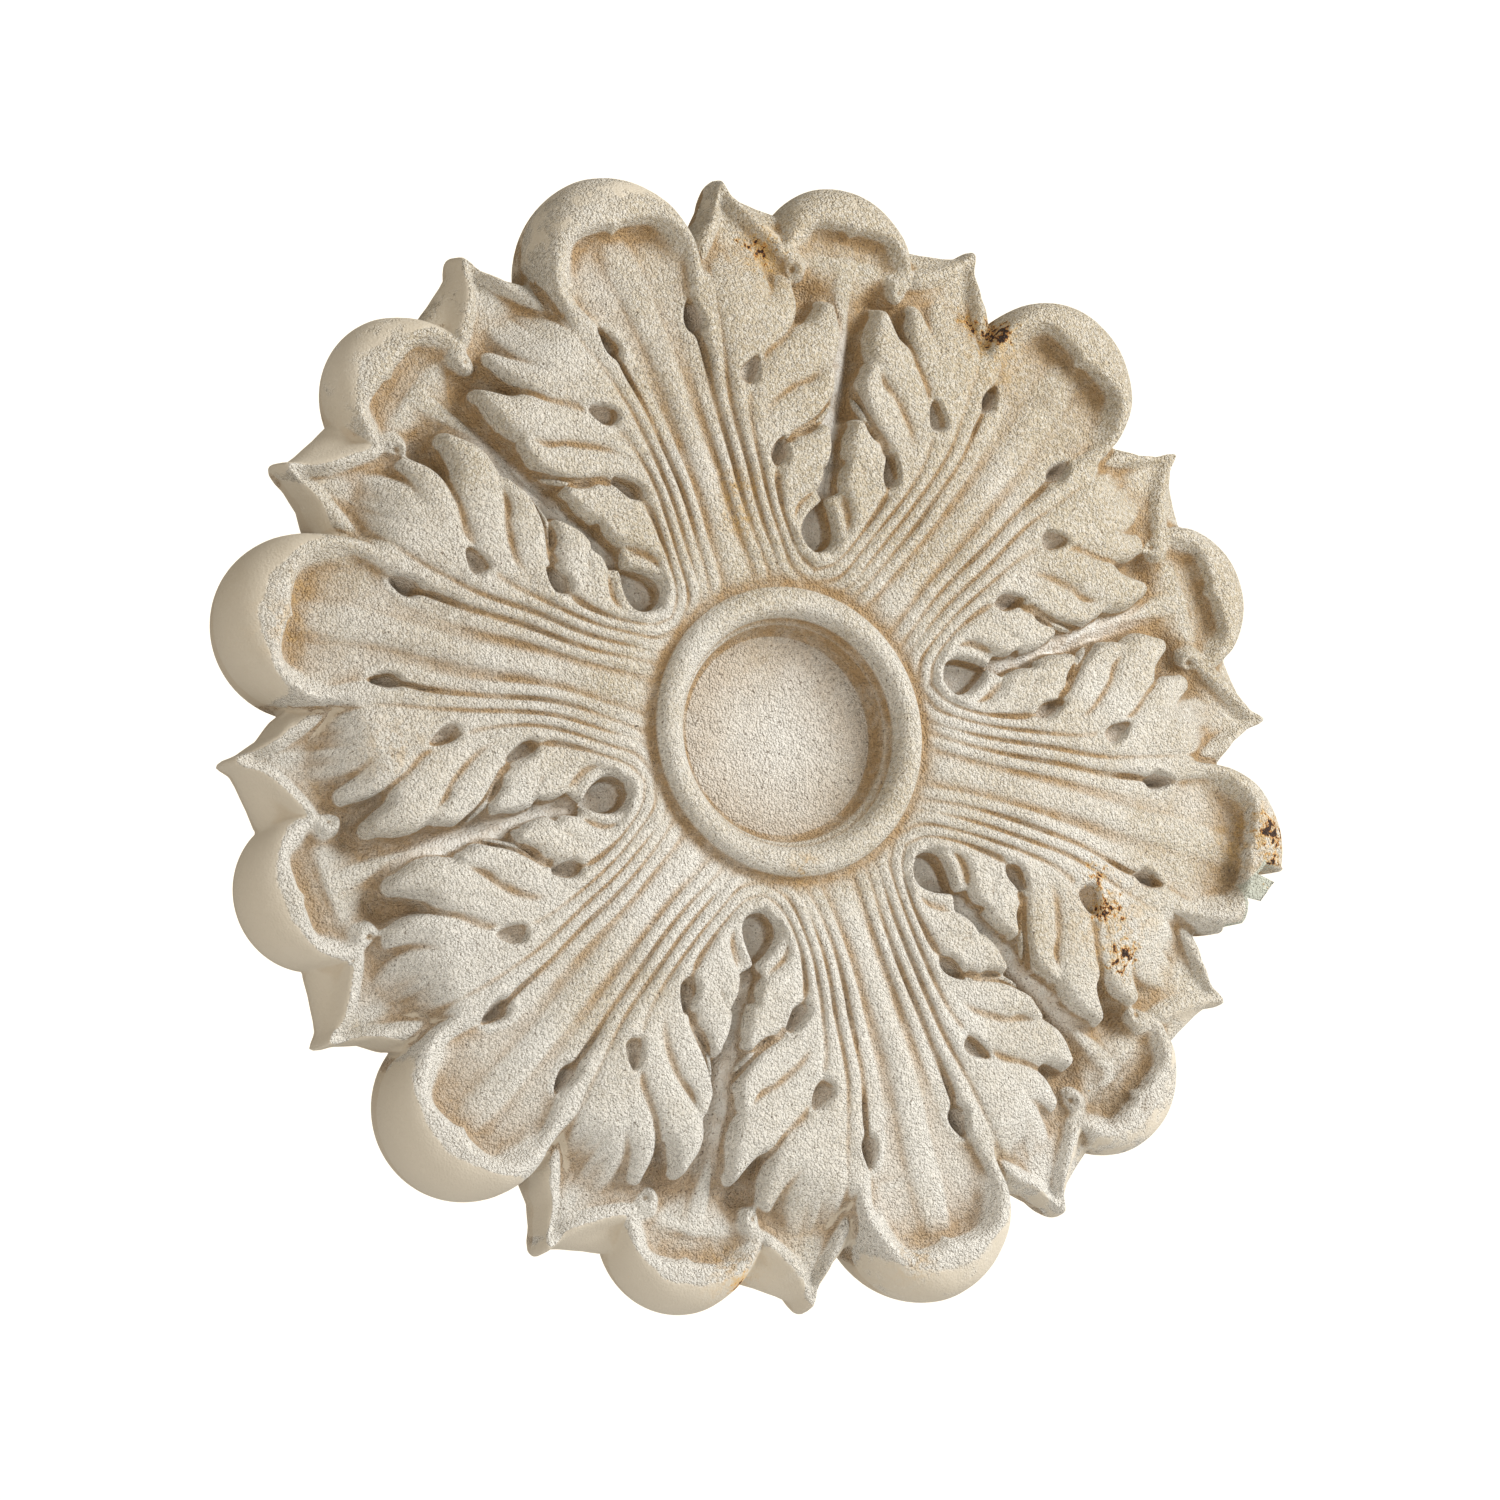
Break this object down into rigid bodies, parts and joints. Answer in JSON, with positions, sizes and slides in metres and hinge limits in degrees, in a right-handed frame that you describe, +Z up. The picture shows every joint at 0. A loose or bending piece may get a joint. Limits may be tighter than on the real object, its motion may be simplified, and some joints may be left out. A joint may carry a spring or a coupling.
{
  "type": "wall rosette",
  "caption": "Round acanthus wall rosette in layered leaves with cupped ends round a raised ring, flat at the back.",
  "frame": {"origin": "middle of the flat back, where the rosette is fixed to the wall", "axes": "+Y into the wall, so the carved face looks along -Y; +Z up as it hangs; +X to the right seen from the front"},
  "size_m": [0.593, 0.066, 0.5868],
  "materials": {
    "stone_coat": "matt sandy stone-effect coat, cream, with tan patina in the hollows and rust at the damage"
  },
  "bodies": {
    "root": {"rosette": "stone_coat"}
  },
  "joints": []
}
